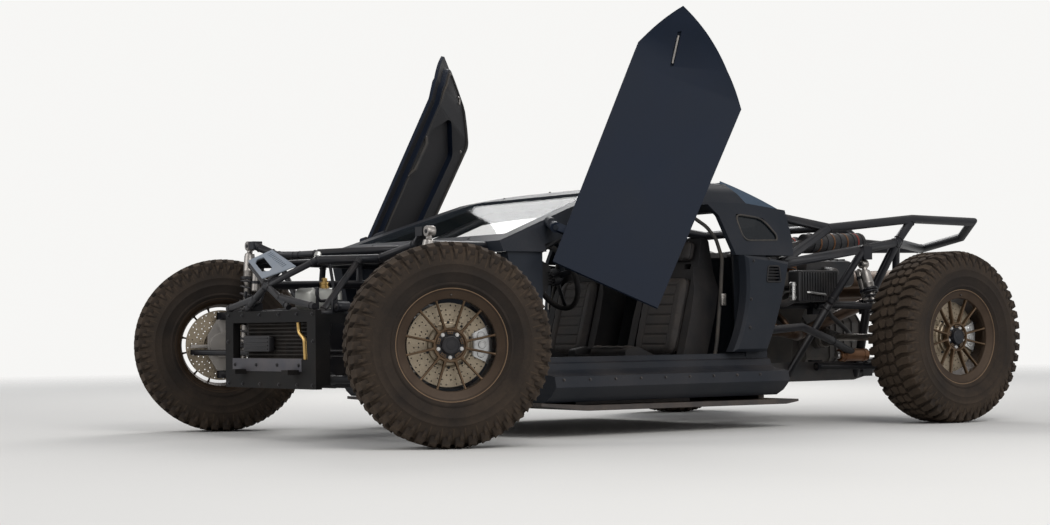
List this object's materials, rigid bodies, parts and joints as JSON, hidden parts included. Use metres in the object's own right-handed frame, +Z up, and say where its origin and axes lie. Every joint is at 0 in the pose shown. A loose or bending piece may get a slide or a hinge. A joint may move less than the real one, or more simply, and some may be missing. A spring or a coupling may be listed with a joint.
{
  "type": "off-road supercar",
  "caption": "Low two-seat off-road supercar: open tube frame, raised swing-up doors, mid engine, double wishbones and large all-terrain tyres on spoked wheels",
  "frame": {"origin": "middle of the car's box on the ground", "axes": "+X forward, +Y to the driver's left, +Z up"},
  "size_m": [4.5524, 2.7502, 2.0231],
  "materials": {
    "body_paint": "satin dark navy over composite panels",
    "fairing_paint": "satin slate blue",
    "frame_black": "satin black powder coat",
    "arm_black": "satin black powder coat",
    "plate_grey": "satin grey-blue",
    "glass": "dark tinted glass",
    "engine_cast": "dark cast",
    "intake_black": "banded dark",
    "steel_pipe": "heat-tinted",
    "cooler": "finned core",
    "seat_trim": "dark trim",
    "cabin_black": "soft-touch black",
    "upright_metal": "machined",
    "caliper_silver": "bare silver",
    "shaft_steel": "ground steel",
    "shock_metal": "dark with bright shaft",
    "tyre": "dusty black rubber",
    "rim_bronze": "satin bronze",
    "disc_steel": "swept bright"
  },
  "bodies": {
    "chassis": {"tub": "body_paint", "upper_shell": "body_paint", "windscreen": "glass", "quarter_panels": "body_paint", "roof_fairing": "fairing_paint", "front_frame": "frame_black", "front_bumper": "frame_black", "hood_plate": "plate_grey", "rear_frame": "frame_black", "roll_cage": "frame_black", "engine": "engine_cast", "intake": "intake_black", "transaxle": "engine_cast", "exhaust": "steel_pipe", "radiator": "cooler", "seats": "seat_trim", "dash": "cabin_black", "steering_wheel": "cabin_black", "skid": "frame_black", "front_arms": "arm_black", "rear_arms": "arm_black", "halfshafts": "shaft_steel", "front_shocks": "shock_metal", "rear_shocks": "shock_metal", "rear_uprights": "upright_metal", "rear_calipers": "caliper_silver"},
    "steering_gear": {"steering_rack": "shaft_steel"},
    "door_left": {"door_left": "body_paint"},
    "door_right": {"door_right": "body_paint"},
    "upright_front_left": {"knuckle_front_left": "upright_metal", "caliper_front_left": "caliper_silver"},
    "upright_front_right": {"knuckle_front_right": "upright_metal", "caliper_front_right": "caliper_silver"},
    "wheel_front_left": {"tyre_front_left": "tyre", "rim_front_left": "rim_bronze", "brake_disc_front_left": "disc_steel"},
    "wheel_front_right": {"tyre_front_right": "tyre", "rim_front_right": "rim_bronze", "brake_disc_front_right": "disc_steel"},
    "wheel_rear_left": {"tyre_rear_left": "tyre", "rim_rear_left": "rim_bronze", "brake_disc_rear_left": "disc_steel"},
    "wheel_rear_right": {"tyre_rear_right": "tyre", "rim_rear_right": "rim_bronze", "brake_disc_rear_right": "disc_steel"}
  },
  "joints": [
    {"name": "steer_left", "type": "hinge", "parent": "chassis", "child": "upright_front_left", "pos_m": [1.80706, 1.03, 0.44], "axis": [0, 0, 1], "range_deg": [-6.5, 53.5]},
    {"name": "steer_right", "type": "hinge", "parent": "chassis", "child": "upright_front_right", "pos_m": [1.80706, -1.03, 0.44], "axis": [0, 0, 1], "range_deg": [-6.5, 53.5]},
    {"name": "rack_travel", "type": "slide", "parent": "chassis", "child": "steering_gear", "axis": [0, 1, 0], "range_m": [-0.0158, 0.1263]},
    {"name": "door_left_swing", "type": "hinge", "parent": "chassis", "child": "door_left", "pos_m": [1.10506, 0.927, 0.95], "axis": [0.4113, 0.8806, -0.2352], "range_deg": [-70, 0]},
    {"name": "door_right_swing", "type": "hinge", "parent": "chassis", "child": "door_right", "pos_m": [1.10506, -0.927, 0.95], "axis": [-0.4113, 0.8806, 0.2352], "range_deg": [-70, 0]},
    {"name": "roll_front_left", "type": "hinge", "parent": "upright_front_left", "child": "wheel_front_left", "pos_m": [1.83099, 1.08502, 0.44], "axis": [0.3987, 0.9171, 0], "continuous": true},
    {"name": "roll_front_right", "type": "hinge", "parent": "upright_front_right", "child": "wheel_front_right", "pos_m": [1.78314, -1.08502, 0.44], "axis": [0.3987, 0.9171, 0], "continuous": true},
    {"name": "roll_rear_left", "type": "hinge", "parent": "chassis", "child": "wheel_rear_left", "pos_m": [-1.25294, 1.09, 0.44], "axis": [0, 1, 0], "continuous": true},
    {"name": "roll_rear_right", "type": "hinge", "parent": "chassis", "child": "wheel_rear_right", "pos_m": [-1.25294, -1.09, 0.44], "axis": [0, 1, 0], "continuous": true}
  ],
  "couplings": [
    {"joint": "steer_right", "follows": "steer_left", "ratio": 1},
    {"joint": "rack_travel", "follows": "steer_left", "m_per_rad": 0.13475}
  ]
}
